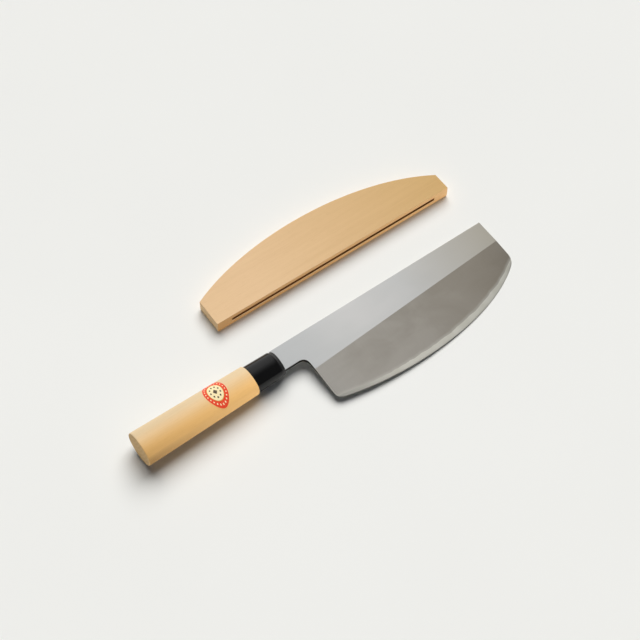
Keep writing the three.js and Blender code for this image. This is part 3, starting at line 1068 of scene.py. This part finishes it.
def flat_iron():
    """Satin flat of the blade, brushed along its length, with painted shade that darkens it towards the neck
    and towards the tip.
    """
    material, tree, shader = new_material("flat_iron")
    place = own_place(tree)
    brushing = grain(tree, place, density=(18, 1400, 60))
    clouds = grain(tree, place, density=(16, 30, 16), detail=2)
    # Painted shade: darker tones for the neck and the tip
    painted_neck_tone = linear(172, 174, 174)
    painted_tip_tone = linear(180, 175, 163)
    colour = blend(tree, clouds, linear(193, 193, 191), linear(199, 198, 196))
    along = along_axis(tree, place, "X")
    to_neck = remap(tree, along, FLAT_NECK_SHADE_X, SHOULDER_X, 0, FLAT_NECK_SHADE, smooth=True)
    colour = mixed(tree, to_neck, colour, painted_neck_tone)
    to_tip = remap(tree, along, FLAT_TIP_SHADE_X, 0, 0, 1)
    colour = mixed(tree, to_tip, colour, painted_tip_tone)
    bare_metal(tree, shader, colour, brushing, roughness=(0.28, 0.36), relief=FINE_RELIEF)
    return material


def bevel_iron():
    """Bevel stoned to a cloudy haze, paler beside the weld, with painted light that makes it paler towards
    the heel and painted shade that darkens it towards the tip.
    """
    material, tree, shader = new_material("bevel_iron")
    place = own_place(tree)
    clouds = grain(tree, place, density=(22, 34, 22), distortion=0.6)
    stoning = grain(tree, place, density=(900, 40, 60))
    # Painted light towards the heel and painted shade towards the tip
    painted_heel_tone = linear(188, 185, 179)
    painted_tip_tone = linear(146, 137, 122)
    weld_tone = linear(196, 193, 184)
    colour = blend(tree, clouds, linear(162, 157, 148), linear(174, 169, 161))
    along = along_axis(tree, place, "X")
    to_heel = remap(tree, along, BEVEL_HEEL_SHADE_X, HEEL_X, 0, BEVEL_HEEL_SHADE, smooth=True)
    colour = mixed(tree, to_heel, colour, painted_heel_tone)
    to_tip = remap(tree, along, BEVEL_TIP_SHADE_X, 0, 0, BEVEL_TIP_SHADE, smooth=True)
    colour = mixed(tree, to_tip, colour, painted_tip_tone)
    from_weld = add(tree, "ShaderNodeAttribute", attribute_name="weld_reach").outputs["Fac"]
    beside_weld = remap(tree, from_weld, WELD_HAZE_WIDTH, 0, 0, WELD_HAZE, smooth=True)
    colour = mixed(tree, beside_weld, colour, weld_tone)
    bare_metal(tree, shader, colour, stoning, roughness=(0.32, 0.42), relief=FINE_RELIEF)
    return material


def dark_wall_iron():
    """Dark iron on the blade's walls and rounded rims, such as the spine, the neck's underside and the heel:
    painted shade for the shadow these walls face, which on the spine's rim also takes the place of its
    highlight.
    """
    material, tree, shader = new_material("dark_wall_iron")
    mottle = grain(tree, own_place(tree), density=(300, 700, 700), detail=4, roughness=0.65)
    # Painted shade: dark tones for walls and rims
    colour = blend(tree, mottle, linear(40, 36, 32), linear(64, 60, 55))
    bare_metal(tree, shader, colour, mottle, roughness=(0.42, 0.6), relief=DARK_WALL_RELIEF)
    return material


def edge_steel():
    """Honed hard steel, paler than the cladding, with painted shade that darkens it towards the heel."""
    material, tree, shader = new_material("edge_steel")
    place = own_place(tree)
    honing = grain(tree, place, density=(1500, 60, 60))
    clouds = grain(tree, place, density=(60, 60, 60), detail=2)
    painted_heel_tone = linear(174, 172, 164)
    colour = blend(tree, clouds, linear(208, 206, 194), linear(219, 217, 207))
    # Painted shade towards the heel
    to_heel = remap(tree, along_axis(tree, place, "X"), EDGE_HEEL_SHADE_X, HEEL_X, 0, 1, smooth=True)
    colour = mixed(tree, to_heel, colour, painted_heel_tone)
    bare_metal(tree, shader, colour, honing, roughness=(0.3, 0.4), relief=HONED_RELIEF)
    return material


# Black fittings, label and floor

def black_ferrule():
    """Polished black collar with faint handling marks."""
    material, tree, shader = new_material("black_ferrule")
    place = own_place(tree)
    marks = grain(tree, place, density=(60, 500, 500), detail=4)
    smears = grain(tree, place, density=(50, 50, 50), detail=2)
    colour = blend(tree, smears, linear(4, 4, 5), linear(9, 9, 9))
    painted(tree, shader, colour, marks, roughness=(0.1, 0.17))
    shader.inputs["Specular IOR Level"].default_value = 0.24
    bumped(tree, shader, marks, FINE_RELIEF)
    return material


def black_resin():
    """Matt black filler in the ferrule's mouth."""
    material, tree, shader = new_material("black_resin")
    specks = grain(tree, own_place(tree), density=(900, 900, 900))
    colour = blend(tree, specks, linear(14, 14, 14), linear(30, 29, 28))
    painted(tree, shader, colour, specks, roughness=(0.42, 0.58))
    bumped(tree, shader, specks, RESIN_RELIEF)
    return material


def ring_mask(tree, reach, inner, outer):
    """1 between two radii of the label's oval."""
    above = maths(tree, "GREATER_THAN", reach, inner)
    below = maths(tree, "LESS_THAN", reach, outer)
    return maths(tree, "MULTIPLY", above, below)


def dot_ring(tree, reach, turn, count, ring_reach, size):
    """1 inside each of the dots spaced round a ring."""
    step = maths(tree, "FRACT", maths(tree, "MULTIPLY", turn, count / (2 * math.pi)))
    sideways = maths(tree, "MULTIPLY", maths(tree, "SUBTRACT", step, 0.5), 2 * math.pi * ring_reach / count)
    outwards = maths(tree, "SUBTRACT", reach, ring_reach)
    spread = maths(tree, "ADD", maths(tree, "POWER", sideways, 2), maths(tree, "POWER", outwards, 2))
    return maths(tree, "LESS_THAN", spread, size**2)


def label_paper():
    """Printed paper: dotted red rim, gold line, cream middle with a lozenge in a ring of dots."""
    material, tree, shader = new_material("label_paper")
    red = linear(226, 54, 28)
    cream = linear(246, 228, 178)
    gold = linear(196, 150, 60)
    dark = linear(60, 48, 36)
    flat = add(tree, "ShaderNodeUVMap", uv_map="flat").outputs["UV"]
    to_centre = {"Vector": flat, "Location": (-1, -1, 0), "Scale": (2, 2, 1)}
    centred = add(tree, "ShaderNodeMapping", to_centre).outputs["Vector"]
    spot = add(tree, "ShaderNodeSeparateXYZ", {"Vector": centred}).outputs
    reach = add(tree, "ShaderNodeVectorMath", {0: centred}, operation="LENGTH").outputs["Value"]
    turn = maths(tree, "ARCTAN2", spot["Y"], spot["X"])
    rim_dot = dot_ring(tree, reach, turn, *LABEL_RIM_DOTS)
    middle_dot = dot_ring(tree, reach, turn, *LABEL_MIDDLE_DOTS)
    diamond = maths(tree, "ADD", maths(tree, "ABSOLUTE", spot["X"]), maths(tree, "ABSOLUTE", spot["Y"]))
    lozenge = maths(tree, "LESS_THAN", diamond, LABEL_LOZENGE)
    colour = mixed(tree, maths(tree, "MAXIMUM", lozenge, middle_dot), cream, dark)
    colour = mixed(tree, ring_mask(tree, reach, *LABEL_LINE), colour, gold)
    rim = maths(tree, "SUBTRACT", maths(tree, "GREATER_THAN", reach, LABEL_LINE[1]), rim_dot)
    colour = mixed(tree, rim, colour, red)
    fibres = grain(tree, own_place(tree), density=(1500, 1500, 1500))
    worn = remap(tree, fibres, 0.4, 0.8, 0, 0.15)
    painted(tree, shader, mixed(tree, worn, colour, cream), fibres, roughness=(0.45, 0.6))
    bumped(tree, shader, fibres, PAPER_RELIEF)
    return material


def floor_paper():
    """Plain pale paper, without any sheen."""
    material, tree, shader = new_material("floor_paper")
    place = add(tree, "ShaderNodeTexCoord").outputs["Object"]
    tone = grain(tree, place, density=(3, 3, 3), detail=2)
    share = remap(tree, tone, NOISE_LOW, NOISE_HIGH, 0, 1)
    colour = mixed(tree, share, linear(238, 237, 232), linear(240, 239, 234))
    tree.links.new(colour, shader.inputs["Base Color"])
    shader.inputs["Roughness"].default_value = 0.9
    shader.inputs["Specular IOR Level"].default_value = 0
    return material


# Assembly

def build_knife():
    place = knife_place()
    stand_for("blade_cladding", cladding_mesh(), place, [flat_iron(), bevel_iron(), dark_wall_iron()])
    stand_for("edge_steel", steel_mesh(), place, [edge_steel()])
    stand_for("neck_seal", seal_mesh(), place, [black_resin()])
    stand_for("ferrule", ferrule_mesh(), place, [black_ferrule()])
    stand_for("handle_grip", grip_mesh(), place, [grip_wood(), grip_end_grain()])
    stand_for("handle_label", label_mesh(), place, [label_paper()])


def build_sheath():
    place = sheath_place()
    wood = [sheath_wood(), sheath_mouth_wood(), sheath_end_grain(), slot_wood()]
    lower = leaf_mesh("sheath_lower_leaf", 0, LOWER_LEAF_TOP, SHEATH_UNDER_ROUND)
    stand_for("sheath_lower_leaf", lower, place, wood)
    stand_for("sheath_spacer", spacer_mesh(), place, wood)
    upper = leaf_mesh("sheath_upper_leaf", UPPER_LEAF_TOP, UPPER_LEAF_BOTTOM, SHEATH_ROUND)
    stand_for("sheath_upper_leaf", upper, place, wood)


# Studio

def build_floor():
    mesh = bpy.data.meshes.new("floor")
    half = FLOOR_SIZE / 2
    corners = [(-half, -half, 0), (half, -half, 0), (half, half, 0), (-half, half, 0)]
    mesh.from_pydata(corners, [], [(0, 1, 2, 3)])
    floor = bpy.data.objects.new("floor", mesh)
    bpy.context.scene.collection.objects.link(floor)
    mesh.materials.append(floor_paper())


def bearing(azimuth, elevation):
    """Unit vector at an angle from +X and a height above the table."""
    level = math.cos(elevation)
    return Vector((level * math.cos(azimuth), level * math.sin(azimuth), math.sin(elevation)))


def add_sun(name, azimuth, elevation, angle, strength):
    """Soft light from far off. Polished faces show the backdrop instead of its glare."""
    lamp = bpy.data.lights.new(name, "SUN")
    lamp.energy = strength
    lamp.angle = angle
    sun = bpy.data.objects.new(name, lamp)
    bpy.context.scene.collection.objects.link(sun)
    sun.rotation_euler = bearing(azimuth, elevation).to_track_quat("Z", "Y").to_euler()
    sun.visible_glossy = False
    return lamp


def build_lights():
    """Broad key high behind the object, and a low fill from the front that casts no shadow."""
    add_sun("key", KEY_AZIMUTH, KEY_ELEVATION, KEY_ANGLE, KEY_STRENGTH)
    fill = add_sun("fill", FILL_AZIMUTH, FILL_ELEVATION, FILL_ANGLE, FILL_STRENGTH)
    fill.use_shadow = False


def build_world():
    """Dim even room light, and a backdrop that is pale behind the object and along the horizon."""
    world = bpy.data.worlds.new("studio")
    bpy.context.scene.world = world
    world.use_nodes = True
    tree = world.node_tree
    direction = add(tree, "ShaderNodeTexCoord").outputs["Generated"]
    towards = bearing(BACKDROP_AZIMUTH, BACKDROP_ELEVATION)
    closeness = add(tree, "ShaderNodeVectorMath", {0: direction, 1: towards}, operation="DOT_PRODUCT")
    near = remap(tree, closeness.outputs["Value"], BACKDROP_END, BACKDROP_FULL, 0, 1)
    backdrop = maths(tree, "MULTIPLY", maths(tree, "POWER", near, BACKDROP_FALL), BACKDROP_RISE)
    backdrop = maths(tree, "MINIMUM", backdrop, BACKDROP_HIGH)
    backdrop = maths(tree, "MAXIMUM", backdrop, BACKDROP_LOW)
    height = along_axis(tree, direction, "Z")
    horizon = remap(tree, height, HORIZON_HEIGHT, HORIZON_FADE, HORIZON_RADIANCE, 0, smooth=True)
    shown = maths(tree, "MAXIMUM", backdrop, horizon)
    path = add(tree, "ShaderNodeLightPath")
    seen = maths(tree, "MAXIMUM", path.outputs["Is Camera Ray"], path.outputs["Is Glossy Ray"])
    seen = maths(tree, "MAXIMUM", seen, path.outputs["Is Transmission Ray"])
    level = remap(tree, seen, 0, 1, AMBIENT_RADIANCE, shown)
    tree.links.new(level, tree.nodes["Background"].inputs["Strength"])
    tint = mixed(tree, seen, AMBIENT_TINT, (1, 1, 1, 1))
    tree.links.new(tint, tree.nodes["Background"].inputs["Color"])


def build_camera():
    camera = bpy.data.objects.new("camera", bpy.data.cameras.new("camera"))
    bpy.context.scene.collection.objects.link(camera)
    camera.data.lens = CAMERA_LENS
    away = bearing(-math.pi / 2 - CAMERA_AZIMUTH, CAMERA_ELEVATION)
    camera.location = CAMERA_TARGET + away * CAMERA_DISTANCE
    camera.rotation_euler = away.to_track_quat("Z", "Y").to_euler()
    bpy.context.scene.camera = camera


build_knife()
build_sheath()
build_floor()
build_lights()
build_world()
build_camera()
bpy.context.scene.view_settings.view_transform = "Standard"
